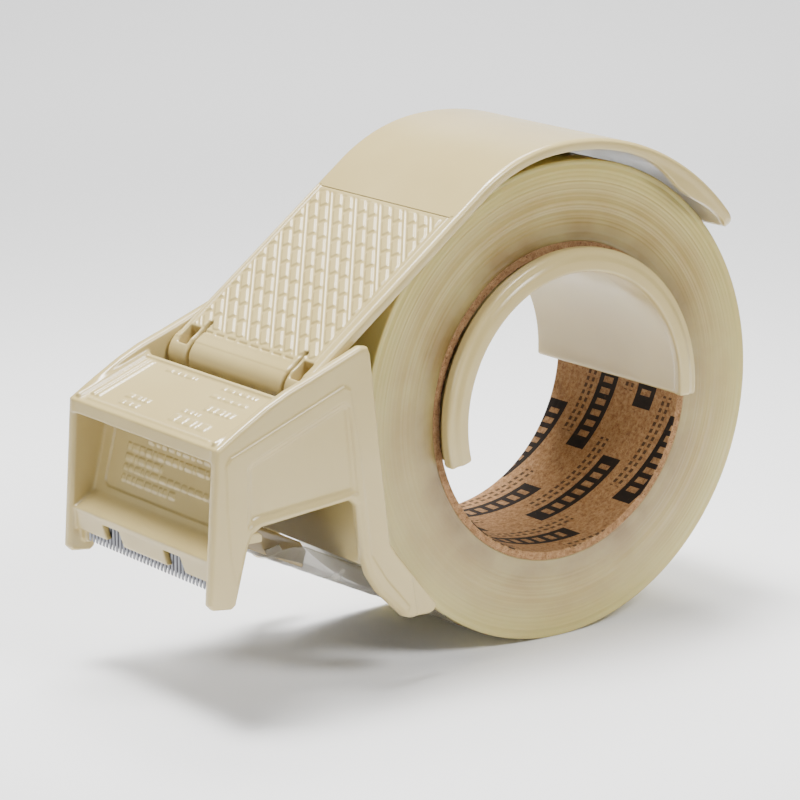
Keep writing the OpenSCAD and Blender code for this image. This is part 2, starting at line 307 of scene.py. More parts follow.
class Shader:
    """A material's node tree, with short calls for the nodes used here."""

    def __init__(self, name):
        self.material = bpy.data.materials.new(name)
        self.material.use_nodes = True
        self.tree = self.material.node_tree
        self.main = self.tree.nodes["Principled BSDF"]
        coords = self.tree.nodes.new("ShaderNodeTexCoord")
        self.place = coords.outputs["Object"]

    def set(self, **values):
        for name, value in values.items():
            self.main.inputs[name.replace("_", " ")].default_value = value

    def link(self, source, socket):
        self.tree.links.new(source, self.main.inputs[socket])

    def node(self, kind, inputs=(), **settings):
        node = self.tree.nodes.new("ShaderNode" + kind)
        for key, value in settings.items():
            setattr(node, key, value)
        for key, value in dict(inputs).items():
            if isinstance(value, bpy.types.NodeSocket):
                self.tree.links.new(value, node.inputs[key])
            else:
                node.inputs[key].default_value = value
        return node

    def noise(self, scale, detail=3.0, place=None, roughness=0.5):
        inputs = {"Vector": place or self.place, "Scale": scale, "Detail": detail}
        inputs["Roughness"] = roughness
        return self.node("TexNoise", inputs).outputs["Fac"]

    def math(self, operation, a, b=0.0, c=0.0, clamp=False):
        inputs = {0: a, 1: b, 2: c}
        node = self.node("Math", inputs, operation=operation, use_clamp=clamp)
        return node.outputs[0]

    def remap(self, value, low, high, to_low=0.0, to_high=1.0, smooth=False):
        inputs = {"Value": value, "From Min": low, "From Max": high}
        inputs["To Min"] = to_low
        inputs["To Max"] = to_high
        kind = "SMOOTHSTEP" if smooth else "LINEAR"
        return self.node("MapRange", inputs, interpolation_type=kind).outputs["Result"]

    def mix(self, share, a, b):
        node = self.node("Mix", data_type="RGBA")
        for socket, value in ((0, share), (6, a), (7, b)):
            if isinstance(value, bpy.types.NodeSocket):
                self.tree.links.new(value, node.inputs[socket])
            else:
                node.inputs[socket].default_value = value
        return node.outputs[2]

    def bump(self, height, strength, distance):
        inputs = {"Height": height, "Strength": strength, "Distance": distance}
        self.link(self.node("Bump", inputs).outputs["Normal"], "Normal")

    def polar(self):
        """Radius in metres and angle in radians about the roll's axis, and y in metres."""
        parts = self.node("SeparateXYZ", {0: self.place})
        x = self.math("SUBTRACT", parts.outputs["X"], float(AXIS[0]))
        z = self.math("SUBTRACT", parts.outputs["Z"], float(AXIS[2]))
        square = self.math("MULTIPLY_ADD", x, x, self.math("MULTIPLY", z, z))
        radius = self.math("SQRT", square)
        angle = self.math("ARCTAN2", z, x)
        return radius, angle, parts.outputs["Y"]


def moulded_plastic(name, colour, worn):
    """Glossy moulded plastic: fine surface texture, faint marbling and uneven gloss."""
    shader = Shader(name)
    cloud = shader.noise(38, 4)
    grain = shader.noise(2600, 2)
    flow = shader.noise(160, 3)
    marbling = shader.remap(cloud, 0.3, 0.7)
    shader.link(shader.mix(marbling, colour, worn), "Base Color")
    shader.link(shader.math("MULTIPLY_ADD", flow, 0.12, 0.16), "Roughness")
    shader.set(IOR=1.49, Specular_IOR_Level=0.7)
    relief = shader.math("MULTIPLY_ADD", flow, 0.5, grain)
    shader.bump(relief, 0.12, 0.00006)
    return shader.material


def blade_steel():
    """Bright spring steel with fine grinding lines, and painted shade in the hollows between the
    teeth.
    """
    shader = Shader("blade_steel")
    stretch = shader.node("VectorMath", {0: shader.place, 1: (300, 6000, 300)}, operation="MULTIPLY")
    lines = shader.noise(1, 3, stretch.outputs[0])
    ground = shader.mix(lines, linear(86, 87, 91), linear(172, 173, 178))
    across = shader.node("SeparateXYZ", {0: shader.place}).outputs["Y"]
    from_end = BLADE_HIGH[1] / TOOTH_PITCH
    turn = shader.math("MULTIPLY_ADD", across, 1 / (TOOTH_PITCH * MM), from_end)
    hollow = shader.math("ABSOLUTE", shader.math("SUBTRACT", shader.math("FRACT", turn), 0.5))
    # Painted shade: the hollows between the teeth are darkened where the teeth shade them.
    hollow_shade = shader.remap(hollow, 0.18, 0.42)
    shader.link(shader.mix(hollow_shade, ground, linear(48, 47, 50)), "Base Color")
    shader.link(shader.math("MULTIPLY_ADD", lines, 0.25, 0.2), "Roughness")
    shader.set(Metallic=1.0)
    shader.bump(lines, 0.3, 0.00005)
    return shader.material


def clear_winding():
    """The roll's wound tape: clear film in hundreds of turns, cloudy and faintly green-yellow."""
    shader = Shader("clear_tape_winding")
    radius, angle, _ = shader.polar()
    depth = shader.remap(radius, CORE_OUT * MM, ROLL_R * MM)
    turns = shader.node("CombineXYZ", {"X": shader.math("MULTIPLY", radius, 1500)})
    rings = shader.noise(1, 3, turns.outputs[0])
    swirl = shader.node("CombineXYZ", {
        "X": shader.math("MULTIPLY", radius, 60),
        "Y": shader.math("MULTIPLY", shader.math("SINE", angle), 2.2),
        "Z": shader.math("MULTIPLY", shader.math("COSINE", angle), 2.2),
    })
    cloud = shader.noise(1.5, 4, swirl.outputs[0])
    # Darker brown towards the core and paler outwards: partly the film's own tint, partly painted
    # shade for light that fades as it passes inward through the clear turns.
    inner_half = shader.remap(depth, 0.0, 0.5, smooth=True)
    outer_half = shader.remap(depth, 0.5, 1.0, smooth=True)
    cloudy = shader.remap(cloud, 0.35, 0.75, 0, 0.4)
    dark_turns = shader.remap(rings, 0.35, 0.75, 0, 0.35)
    colour = shader.mix(inner_half, linear(118, 93, 51), linear(163, 142, 86))
    colour = shader.mix(outer_half, colour, linear(188, 174, 104))
    colour = shader.mix(cloudy, colour, linear(198, 187, 126))
    colour = shader.mix(dark_turns, colour, linear(146, 126, 78))
    shader.link(colour, "Base Color")
    shader.link(shader.math("MULTIPLY_ADD", rings, 0.2, 0.22), "Roughness")
    shader.set(IOR=1.48, Coat_Weight=0.35, Coat_Roughness=0.12)
    shader.set(Subsurface_Weight=0.12, Subsurface_Scale=0.004)
    shader.bump(rings, 0.25, 0.0001)
    return shader.material


def kraft_board():
    """Spiral-wound kraft board: fibres and flecks, with print on its inner face."""
    shader = Shader("kraft_board")
    radius, angle, y = shader.polar()
    fibres = shader.noise(900, 5, roughness=0.7)
    flecks = shader.noise(2600, 2)
    mottled = shader.mix(shader.remap(fibres, 0.35, 0.65), linear(124, 90, 58), linear(170, 132, 92))
    board = shader.mix(shader.remap(flecks, 0.62, 0.7), mottled, linear(92, 64, 42))
    worn = shader.remap(fibres, 0.25, 0.4, 0.7, 1.0)
    inside = shader.math("LESS_THAN", radius, (CORE_IN + 0.3) * MM)
    ink = shader.math("MULTIPLY", print_pattern(shader, angle, y), worn)
    ink = shader.math("MULTIPLY", ink, inside)
    shader.link(shader.mix(ink, board, linear(30, 23, 18)), "Base Color")
    shader.set(Roughness=0.82, Specular_IOR_Level=0.25)
    shader.bump(fibres, 0.5, 0.00012)
    return shader.material


def band(shader, value, middle, half):
    """1 where value lies within half of middle, otherwise 0."""
    return shader.math("COMPARE", value, middle, half)


def print_pattern(shader, angle, y):
    """Generic print that spirals round the core: dark blocks with pale bars, and dashed lines."""
    row_pitch = 15 * MM
    spiral_pitch = 4 * row_pitch
    blocks_round = 6
    bars_in_block = 13
    dashes_in_block = 21
    turns = shader.math("MULTIPLY", angle, 1 / (2 * math.pi))
    climb = shader.math("MULTIPLY_ADD", turns, spiral_pitch, y)
    rows = shader.math("MULTIPLY_ADD", climb, 1 / row_pitch, 10.2)
    row = shader.math("FLOOR", rows)
    across = shader.math("SUBTRACT", rows, row)
    stagger = shader.math("MULTIPLY", row, 0.37)
    along = shader.math("FRACT", shader.math("MULTIPLY_ADD", turns, blocks_round, stagger))
    block = shader.math("MULTIPLY", band(shader, along, 0.4, 0.32), band(shader, across, 0.3, 0.23))
    marks = shader.math("FRACT", shader.math("MULTIPLY", along, bars_in_block))
    pale = shader.math("MULTIPLY", band(shader, marks, 0.4, 0.27), band(shader, across, 0.3, 0.12))
    pale = shader.math("MULTIPLY", pale, band(shader, along, 0.4, 0.26))
    block = shader.math("SUBTRACT", block, shader.math("MULTIPLY", pale, 0.85), clamp=True)
    steps = shader.math("FRACT", shader.math("MULTIPLY", along, dashes_in_block))
    lines = shader.math("ADD", band(shader, across, 0.68, 0.035), band(shader, across, 0.82, 0.035))
    lines = shader.math("MULTIPLY", lines, band(shader, steps, 0.4, 0.3))
    lines = shader.math("MULTIPLY", lines, band(shader, along, 0.5, 0.33))
    return shader.math("MAXIMUM", block, shader.math("MULTIPLY", lines, 0.8))


def clear_film():
    """One loose length of clear film: glossy, nearly clear, with whitish patches of painted
    highlight spread by the crease noise.
    """
    shader = Shader("clear_film")
    crease = shader.noise(110, 2, roughness=0.5)
    # Painted highlight: whitish, less clear patches stand in for light caught on the film.
    painted_highlight = shader.remap(crease, 0.58, 0.78)
    shader.link(shader.mix(painted_highlight, linear(116, 108, 90), linear(196, 192, 178)), "Base Color")
    shader.link(shader.remap(painted_highlight, 0, 1, 0.6, 0.82), "Alpha")
    shader.set(Roughness=0.1, IOR=1.48, Specular_IOR_Level=0.8)
    shader.bump(crease, 0.2, 0.0004)
    return shader.material


BEIGE = moulded_plastic("beige_moulding", linear(193, 174, 120), linear(187, 167, 112))
# The comb is the same beige moulding; its darker colour is painted shade for the head's shadow over
# it.
COMB_IN_PAINTED_SHADE = moulded_plastic("comb_moulding_painted_shade", linear(140, 121, 80), linear(130, 112, 72))
PIN = moulded_plastic("pin_moulding", linear(168, 146, 100), linear(160, 138, 92))
STEEL = blade_steel()
WINDING = clear_winding()
KRAFT = kraft_board()
FILM = clear_film()


# ---- Cover, grip and hinge clips ----


def cover_place(t, y, n):
    """Where a place t along the cover's profile, y across it and n off its outer face lies."""
    a = np.where(t < BEND_END_S, BEND_FROM - (t - BEND_S) / BEND_R, 0)
    b = ARC_FROM - (t - BEND_END_S) / COVER_R
    cs = math.cos(GRIP_SLOPE)
    sn = math.sin(GRIP_SLOPE)
    x = np.where(t < BEND_S, cs * t - sn * (GRIP_OFF + n), BEND_X + (BEND_R + n) * np.cos(a))
    z = np.where(t < BEND_S, sn * t + cs * (GRIP_OFF + n), BEND_Z + (BEND_R + n) * np.sin(a))
    x = np.where(t > BEND_END_S, (COVER_R + n) * np.cos(b), x)
    z = np.where(t > BEND_END_S, (COVER_R + n) * np.sin(b), z)
    return np.stack([x, y, z], 1)


def skirt_depth(t):
    """How far the cover's sides hang below its outer face along the tail, in mm."""
    deepest_at = 54.5
    breadth = 9.5
    extra = 2.9
    angle = np.degrees(ARC_FROM - (t - BEND_END_S) / COVER_R)
    swell = np.exp(-((angle - deepest_at) / breadth) ** 2) * extra
    return COVER_T + 0.2 + np.where(angle < 90, swell, 0)


def cover_body(t, y, n):
    """The cover's sheet and the skirts at its tail."""
    corner = 5.0
    edge_r = 1.15
    skirt_t = 2.2
    far_down = -400
    ay = np.abs(y)
    plan = block(t, y, far_down, TAIL_S, -COVER_HALF, COVER_HALF, corner)
    sheet = prism(plan, n, -COVER_T, 0, edge_r)
    low = np.maximum(-skirt_depth(t) - n, n + 0.8)
    skirt = np.maximum(np.maximum(low, ay - COVER_HALF), COVER_HALF - skirt_t - ay)
    skirt = np.maximum(skirt, plan)
    return join(sheet, skirt, 0.9)


def grip_pattern(s, x):
    """Height of the grip's tread: slanted raised pads in double-lined rows."""
    long_pitch = 6.7
    row_pitch = 3.54
    u = (x - s) / math.sqrt(2)
    w = (x + s) / math.sqrt(2)
    row = np.floor(w / row_pitch)
    strong = np.mod(row, 2)
    in_row = w - (row + 0.5) * row_pitch
    half_gap_low = np.where(strong == 0, 0.85, 0.3)
    half_gap_high = np.where(strong == 0, 0.3, 0.85)
    in_w = np.minimum(row_pitch / 2 + in_row - half_gap_low, row_pitch / 2 - in_row - half_gap_high)
    shifted = np.mod(u + strong * 0.5 * long_pitch, long_pitch) - long_pitch / 2
    in_u = long_pitch / 2 - np.abs(shifted) - 0.45
    pad = np.clip(np.minimum(in_w, in_u) / 0.35, 0, 1)
    ridge_at = np.minimum(np.mod(w, 2 * row_pitch), 2 * row_pitch - np.mod(w, 2 * row_pitch))
    ridge = np.clip((0.3 - ridge_at) / 0.2, 0, 1) * 0.7
    return np.maximum(pad, ridge)


def grip_relief(s, y):
    """Height added to the grip's outer face: tread, border lines and the dashed line."""
    x = -y
    floor = -0.16
    field = block(s, x, -47.5, 0.4, -25.2, 24.4, 0.6)
    tread = floor + 0.42 * grip_pattern(s, x)
    height = np.where(field < 0, tread * np.clip(-field / 0.25, 0, 1), 0)
    height = height - 0.3 * np.clip((0.45 - np.abs(s - 1.75)) / 0.25, 0, 1) * (np.abs(x) < 26)
    for at, tall in ((-26.0, 0.25), (-27.2, 0.2), (25.6, 0.15)):
        line = np.clip((0.4 - np.abs(x - at)) / 0.25, 0, 1) * tall
        height = height + line * (s < 1.5)
    dash = np.mod(x, 4.8) < 3.3
    seam = np.clip((0.4 - np.abs(s + 48.6)) / 0.2, 0, 1) * dash * (np.abs(x) < BARREL_HALF)
    return height - 0.35 * seam


def hinge_zone(s, y, n):
    """The grip with its barrel, the two clips, their windows and the slots beside them."""
    ay = np.abs(y)
    body = cover_body(s, y, n - grip_relief(s, y))
    body = np.maximum(body, PIN_S - s)
    ring = np.hypot(s - PIN_S, n - PIN_N) - BARREL_R
    barrel = prism(ring, ay, -BARREL_HALF, BARREL_HALF, 0.6)
    clip = prism(ring, ay, CLIP_IN, COVER_HALF, 0.7)
    mouth = block(s, n, PIN_S, PIN_S + 2 * PIN_R - 0.4, PIN_N - 40, PIN_N)
    clip = cut(clip, mouth, 0.4)
    slot_end = block(s, ay, -90, -45.2, BARREL_HALF, CLIP_IN, 0.6)
    body = cut(body, slot_end, 0.5)
    body = join(body, np.maximum(barrel, n), 0.5)
    body = join(body, clip, 0.5)
    window = prism(block(s, ay, -53.4, -48.0, 21.6, 25.8, 0.5), n, -4.2, 3, 0.2)
    body = cut(body, window, 0.5)
    clearance = 0.05
    bore = np.hypot(s - PIN_S, n - PIN_N) - PIN_R - clearance
    return cut(body, bore, 0.2)


def build_cover():
    """The handle's cover in two meshes that meet in the groove above the grip."""
    meet = 1.9
    fine = 0.22 if FINE else 0.4
    step = (fine, fine, fine)
    low = (PIN_S - BARREL_R - 0.6, -COVER_HALF - 0.6, PIN_N - BARREL_R - 0.6)
    s, y, n, origin, step = grid(low, (meet + fine, COVER_HALF + 0.6, 1.0), step)
    verts, quads = surface_nets(hinge_zone(s, y, n).astype(np.float32), origin, step)
    nodes = ["grip_panel", "hinge_barrel", "right_hinge_clip", "left_hinge_clip"]
    place = cover_place(*verts.T)
    add_mesh("grip_and_hinge", place, quads, "handle", BEIGE, nodes)
    step = (0.6, 0.35, 0.3) if FINE else (1.2, 0.6, 0.4)
    low = (meet - 0.6, -COVER_HALF - 0.6, -8.0)
    t, y, n, origin, step = grid(low, (TAIL_S + 0.8, COVER_HALF + 0.7, 0.8), step)
    verts, quads = surface_nets(cover_body(t, y, n).astype(np.float32), origin, step)
    nodes = ["cover_shell", "cover_bend", "cover_tail", "right_tail_skirt", "left_tail_skirt"]
    place = cover_place(*verts.T)
    add_mesh("cover_over_roll", place, quads, "handle", BEIGE, nodes)


# ---- Side arm and hub ----


def build_arm():
    """The plate that closes the far side of the roll, with ribs on its inner face."""
    first = 52
    last = 138
    arc_to = 96
    inner_r = 36.8
    ease = 0.6
    step = (0.5, 0.4, 0.5) if FINE else (0.9, 0.7, 0.9)
    low, high = span("side_arm")
    low = low - [1, 2.2, 1]
    x, y, z, origin, step = grid(low, high + [1.5, 1, 1.5], step)
    reach = np.hypot(x, z)
    angle = np.degrees(np.arctan2(z, x))
    turn = np.minimum(angle - first, last - angle) * math.pi / 180 * reach
    front = np.minimum(np.hypot(x - BEND_X, z - BEND_Z) - BEND_R, reach - GRIP_OFF)
    outer = np.where(angle < arc_to, reach - COVER_R, front) + COVER_T - ease
    flat = np.maximum(np.maximum(outer, inner_r - reach), -turn)
    plate = prism(flat.astype(np.float32), y, ARM_IN, COVER_HALF - 0.05, ease)
    for a in (62, 82, 102, 122):
        c = math.cos(math.radians(a))
        s = math.sin(math.radians(a))
        rib = block(x * c + z * s, z * c - x * s, 38, 59, -0.75, 0.75, 0.3)
        plate = join(plate, prism(rib, y, ARM_IN - 0.8, ARM_IN + 1, 0.3), ease)
    verts, quads = surface_nets(plate.astype(np.float32), origin, step)
    add_mesh("side_arm_plate", verts, quads, "handle", BEIGE, ["side_arm", "arm_ribs"])


def build_hub():
    """The C-shaped hub: a thick tube wall with a rounded lip at its open end."""
    hub_r = 37.3
    lip_r = 39.6
    wall = 3.0
    drop = 0.3
    first = math.radians(-4)
    last = math.radians(195)
    step = (0.5, 0.3, 0.25) if FINE else (1.0, 0.5, 0.4)
    low = (first * hub_r - 1, HUB_END - 0.8, hub_r - wall - 1.6)
    high = (last * hub_r + 1.5, COVER_HALF + 0.8, lip_r + 0.8)
    t, y, r, origin, step = grid(low, high, step)
    tube = block(y, r, HUB_END + 0.3, COVER_HALF - 0.05, hub_r - wall, hub_r, 0.5)
    lip = block(y, r, HUB_END + 0.7, HUB_END + 4.2, hub_r - wall + 0.5, lip_r, 1.0)
    bead = block(y, r, HUB_END, HUB_END + 3, hub_r - wall - 0.6, hub_r - 0.2, 0.75)
    section = join(join(tube, lip, 0.9), bead, 0.25)
    hub = prism(section, t, first * hub_r, last * hub_r, 0.9)
    verts, quads = surface_nets(hub.astype(np.float32), origin, step)
    angle = verts[:, 0] / hub_r
    x = drop + verts[:, 2] * np.cos(angle)
    z = -drop + verts[:, 2] * np.sin(angle)
    verts = np.stack([x, verts[:, 1], z], 1)
    add_mesh("hub", verts, quads, "handle", BEIGE, ["hub_tube", "hub_lip"])


# ---- Cutter head ----

WALL_OUTLINE = [
    (-108, 6.2), (-101.4, 10.2), (-94, 14.4), (-88.4, 17), (-82, 19.3), (-67.3, 24.9),
    (-65.2, 24.6), (-64.4, 22.6), (-61.7, 0), (-60.2, -12), (-58.6, -24.4), (-52.2, -32.6),
    (-44.4, -42), (-45, -43.6), (-46.6, -44.1), (-52.6, -44), (-54.7, -43.3), (-57.3, -40.8),
    (-62.2, -36), (-65.2, -31.4), (-66.8, -26.6), (-68.7, -13.4), (-70.6, -11.8),
    (-95.6, -14), (-98.2, -15.4), (-99.4, -18), (-103, -31.4), (-104.2, -32.3),
    (-109.2, -31.7), (FRONT_X, -30.4),
]
PANEL_OUTLINE = [
    (-99.6, 0.6), (-98.4, 2), (-72.6, 12.2), (-70.9, 11.2), (-68.6, -10.2), (-96.4, -12.4),
    (-99.8, -13.4),
]
# The outer face is a little proud inside this line, which follows the top and the front leg.
PROUD_OUTLINE = [
    (-105.7, 2.4), (-104.4, 4.0), (-72.4, 16.3), (-70.6, 15.2), (-67.6, -2), (-64.6, -26),
    (-60, -33), (-53, -41), (-60, -50), (-70, -30), (-72, -5), (-96, -8), (-103.2, -27),
    (-104.6, -20), (-105.4, -8),
]
FOOT_STEP = [
    (-57.2, -27), (-52.3, -32.6), (-50.7, -43.4), (-50.5, -48), (-38, -48), (-38, -20), (-56, -20),
]
PLATE_FRONT = (-108.0, 6.2)
PLATE_REAR = (-86.4, 14.3)
PLATE_LEAN = math.atan2(PLATE_REAR[1] - PLATE_FRONT[1], PLATE_REAR[0] - PLATE_FRONT[0])
BACK_FOOT = (-103.2, -17.2)
BACK_TOP = (-96.9, 7.6)
BACK_LEAN = math.atan2(BACK_TOP[1] - BACK_FOOT[1], BACK_TOP[0] - BACK_FOOT[0])
LEDGE_FRONT = (-108.8, -20.3)
LIP_FOOT = (-108.4, -25.8)
LIP_T = 1.4


def side_walls(x, ay, z):
    """Both side walls: rounded edges, a proud field, the sunk panel and the stepped foot."""
    outside = HEAD_HALF + 3
    outline = polygon_distance(x, z, WALL_OUTLINE)
    wall = prism(outline, ay, WALL_IN, HEAD_HALF - 0.32, 1.0)
    proud = np.maximum(polygon_distance(x, z, PROUD_OUTLINE), outline + 1.1)
    wall = join(wall, prism(proud, ay, WALL_IN + 1, HEAD_HALF, 0.25), 0.15)
    panel = polygon_distance(x, z, PANEL_OUTLINE)
    wall = cut(wall, prism(panel - 0.1, ay, HEAD_HALF - 0.5, outside, 0.4), 0.35)
    wall = cut(wall, prism(panel + 1.1, ay, HEAD_HALF - 0.95, outside, 0.3), 0.3)
    foot = polygon_distance(x, z, FOOT_STEP)
    return cut(wall, prism(foot, ay, HEAD_HALF - 1.15, outside, 0.3), 0.3)


def word_bars(u_from, u_to, seed):
    """Spans of short raised bars of uneven length that stand in for a line of small marks."""
    chance = random.Random(seed)
    shortest = 0.6
    at = u_from
    spans = []
    while at < u_to - shortest:
        end = min(u_to, at + chance.uniform(1.1, 3.2))
        spans.append((at, end))
        at = end + chance.uniform(0.45, 0.8)
    return spans


def raised_bars(u, v, rows):
    """Plan of all bars in rows of (u from, u to, v from, v to)."""
    far_off = 50
    plan = np.full(np.broadcast(u, v).shape, far_off, np.float32)
    for seed, (u_from, u_to, v_from, v_to) in enumerate(rows):
        for a, b in word_bars(u_from, u_to, seed):
            plan = np.minimum(plan, block(u, v, a, b, v_from, v_to, 0.35))
    return plan


def top_plate(x, y, z):
    """The sloping plate with its front beam, border lines, beads and generic raised marks."""
    ay = np.abs(y)
    thick = 2.2
    c = math.cos(PLATE_LEAN)
    s = math.sin(PLATE_LEAN)
    under = (thick * s, -thick * c)
    outline = [
        PLATE_FRONT, PLATE_REAR, (PLATE_REAR[0] + under[0], PLATE_REAR[1] + under[1]),
        (-105, 5.0), (-105, 3.1), (-108.2, 3.1),
    ]
    plate = prism(polygon_distance(x, z, outline) + 0.5, ay, -WALL_IN - 1, WALL_IN + 1, 0.1) - 0.5
    run = (x - PLATE_FRONT[0]) * c + (z - PLATE_FRONT[1]) * s
    rise = (z - PLATE_FRONT[1]) * c - (x - PLATE_FRONT[0]) * s
    bead = prism(np.hypot(ay - 29.2, rise - 0.1) - 1.0, run, 1.0, 23.2, 0.5)
    plate = join(plate, bead, 0.3)
    lines = [
        (block(run, rise, 21.7, 22.9, -1, 0.45, 0.3), -30, 30),
        (block(run, rise, 1.6, 2.4, -1, 0.22, 0.2), -26, 26),
    ]
    for section, y_low, y_high in lines:
        plate = join(plate, prism(section, y, y_low, y_high, 0.1), 0.25)
    for side, tall in ((26.4, 0.5), (24.2, 0.4)):
        section = block(y, rise, side - 0.8, side + 0.8, -1, tall, 0.35)
        plate = join(plate, prism(section, run, 3.5, 21, 0.3), 0.25)
    rows = [
        (-17, -4, 19.4, 20.6), (7, 21, 19.4, 20.6), (7, 21.5, 15.8, 17.0), (11, 22, 11, 13.2),
        (5.5, 12.5, 8.2, 9.5), (5.5, 21.5, 4.2, 7.0), (-16.5, -7, 6.6, 8.4),
        (-15.5, -7.5, 4.0, 5.6),
    ]
    marks = prism(raised_bars(-y, run, rows), rise, -1, 0.3, 0.15)
    return join(plate, marks, 0.15)


def window_back(x, y, z):
    """The leaning panel behind the window, with its rounded inset and raised bars."""
    c = math.cos(BACK_LEAN)
    s = math.sin(BACK_LEAN)
    up = (x - BACK_FOOT[0]) * c + (z - BACK_FOOT[1]) * s
    depth = (x - BACK_FOOT[0]) * s - (z - BACK_FOOT[1]) * c
    panel = prism(block(up, depth, -1, 26.5, 0, 2.2), y, -WALL_IN - 1, WALL_IN + 1, 0.1)
    inset = prism(block(up, y, 2.2, 40, -25.4, 25.4, 2.2), depth, -3, 0.5, 0.15)
    panel = cut(panel, inset, 0.3)
    rows = [
        (-11, 24, 15.6, 18.6), (-19, 24, 12.6, 14.2), (-19, -3, 10.0, 11.6),
        (-19, 24, 7.4, 9.0), (-19, 4, 4.8, 6.4),
    ]
    marks = prism(raised_bars(-y, up, rows), depth, 0.2, 1.5, 0.12)
    return join(panel, marks, 0.15)


def ledge_and_lip(x, y, z):
    """The ledge under the window and the slanted lip that covers the blade, with two notches."""
    ledge = [
        BACK_FOOT, LEDGE_FRONT, (LEDGE_FRONT[0] + 0.1, LEDGE_FRONT[1] - 0.9), (-106, -21.2),
        (-101.2, -19.2), (-101.0, -17.6),
    ]
    top = LEDGE_FRONT[1] - 0.2
    lip = [
        (LEDGE_FRONT[0], top), LIP_FOOT, (LIP_FOOT[0] + LIP_T, LIP_FOOT[1]),
        (LEDGE_FRONT[0] + LIP_T + 0.6, top),
    ]
    shelf = prism(polygon_distance(x, z, ledge) + 0.35, y, -WALL_IN - 1, WALL_IN + 1, 0.1) - 0.35
    skirt = prism(polygon_distance(x, z, lip) + 0.3, y, -WALL_IN - 1, WALL_IN + 1, 0.1) - 0.3
    notch_top = LEDGE_FRONT[1] - 2.1
    notch_foot = notch_top - 12.5
    width = 7.2
    slant = 6.2
    behind_lip = -104
    for at in (9.6, -16.8):
        corners = [
            (at, notch_top), (at + width, notch_top), (at + width - slant, notch_foot),
            (at - slant, notch_foot),
        ]
        notch = np.maximum(polygon_distance(y, z, corners), x - behind_lip)
        skirt = cut(skirt, notch, 0.3)
    return join(shelf, skirt, 0.5)


def small_parts(x, y, z):
    """Cheeks beside the blade, the comb's shelf, the rear guard and the hinge bosses."""
    ay = np.abs(y)
    cheek = [
        (-107, -21.3), (-107, -28.6), (-106, -29.6), (-103.6, -29.2), (-101.4, -20.6),
        (-102.4, -19.4), (-105.8, -21),
    ]
    shelf = [(-101, -18), (-100.6, -15.2), (-95.6, -15.4), (-94.4, -16.4), (-94.4, -18.1)]
    guard = [(-67.8, 5), (-64.2, -29.8), (-62.0, -29.6), (-65.6, 5.2)]
    boss_r = 4
    into_wall = WALL_IN + 1
    cheek = prism(polygon_distance(x, z, cheek), ay, WALL_IN - 2.3, into_wall, 0.5)
    shelf = prism(polygon_distance(x, z, shelf), y, -into_wall, into_wall, 0.3)
    guard = prism(polygon_distance(x, z, guard), y, -into_wall, into_wall, 0.5)
    boss = np.hypot(x - HINGE[0], z - HINGE[2]) - boss_r
    boss = prism(boss, ay, COVER_HALF + 0.3, into_wall, 0.15)
    return np.minimum(np.minimum(cheek, shelf), np.minimum(guard, boss))


def build_head():
    """The cutter head as one moulding."""
    fine = 0.36 if FINE else 0.7
    wall_low, wall_high = span("left_side_wall")
    low = (FRONT_X - 1, -HEAD_HALF - 1, wall_low[2] - 1)
    high = (wall_high[0] + 1, HEAD_HALF + 1, wall_high[2] + 1)
    x, y, z, origin, step = grid(low, high, (fine, fine, fine))
    head = side_walls(x, np.abs(y), z)
    for part in (top_plate, window_back, ledge_and_lip, small_parts):
        head = join(head, part(x, y, z), 0.7)
    verts, quads = surface_nets(head.astype(np.float32), origin, step)
    nodes = [
        "right_side_wall", "left_side_wall", "top_plate", "front_beam", "window_panel",
        "front_ledge", "blade_lip", "right_blade_guard", "left_blade_guard", "comb_shelf",
        "rear_guard", "right_hinge_boss", "left_hinge_boss",
    ]
    add_mesh("head_moulding", verts, quads, "head", BEIGE, nodes)


def build_comb():
    """The comb's ribs: thin plates side by side with rounded edges, tied by a bar."""
    low, high = span("tape_comb")
    fine = 0.3 if FINE else 0.6
    x, y, z, origin, step = grid(low - 1, high + 1, (fine, fine, fine))
    rib = [
        (-93.3, -20.6), (-94.6, -19.8), (-94.6, -16.6), (-90, -17), (-75.6, -24),
        (-73.8, -26.6), (-75, -30.5), (-89, -23.9), (-91.6, -22.6),
    ]
    bar = [(-88.4, -18.3), (-83, -20.8), (-83, -22.8), (-88.4, -20.3)]
    pitch = 3.0
    half_rib = 0.7
    offset = y - pitch * np.round(y / pitch)
    ribs = prism(polygon_distance(x, z, rib), offset, -half_rib, half_rib, 0.3)
    ribs = np.maximum(ribs, np.abs(y) - high[1])
    tie = prism(polygon_distance(x, z, bar), y, low[1], high[1], 0.3)
    verts, quads = surface_nets(join(ribs, tie, 0.4).astype(np.float32), origin, step)
    add_mesh("tape_comb_ribs", verts, quads, "head", COMB_IN_PAINTED_SHADE, ["tape_comb"])


def build_blade():
    """The toothed steel strip: each tooth is a ridge that runs up the blade's face."""
    half = BLADE_HIGH[1]
    tip = BLADE_LOW[2]
    top = BLADE_HIGH[2]
    front = BLADE_LOW[0]
    back = BLADE_HIGH[0]
    root = tip + 2.0
    relief = 0.5
    edge_at = front + 0.8 * (back - front)
    steps = 8
    count = int(round(2 * half / TOOTH_PITCH)) * steps
    y = -half + np.arange(count + 1) * TOOTH_PITCH / steps
    wave = 1 - np.abs(np.mod(np.arange(count + 1), steps) / steps * 2 - 1)
    foot = root + (tip - root) * wave
    face = front + relief * (1 - wave)
    rows = [(np.full_like(y, edge_at), foot)]
    for share in (0.06, 0.5, 1):
        rows.append((face, foot + (top - foot) * share))
    rows.append((np.full_like(y, back), np.full_like(y, top)))
    rows.append((np.full_like(y, back), foot))
    verts = np.concatenate([np.stack([x, y, z], 1) for x, z in rows])
    faces = lattice_faces(len(rows), len(y), True, False)[:, ::-1]
    nodes = ["cutter_blade"]
    blade = add_mesh("cutter_blade_strip", verts, faces, "head", STEEL, nodes)
    blade.data.shade_flat()


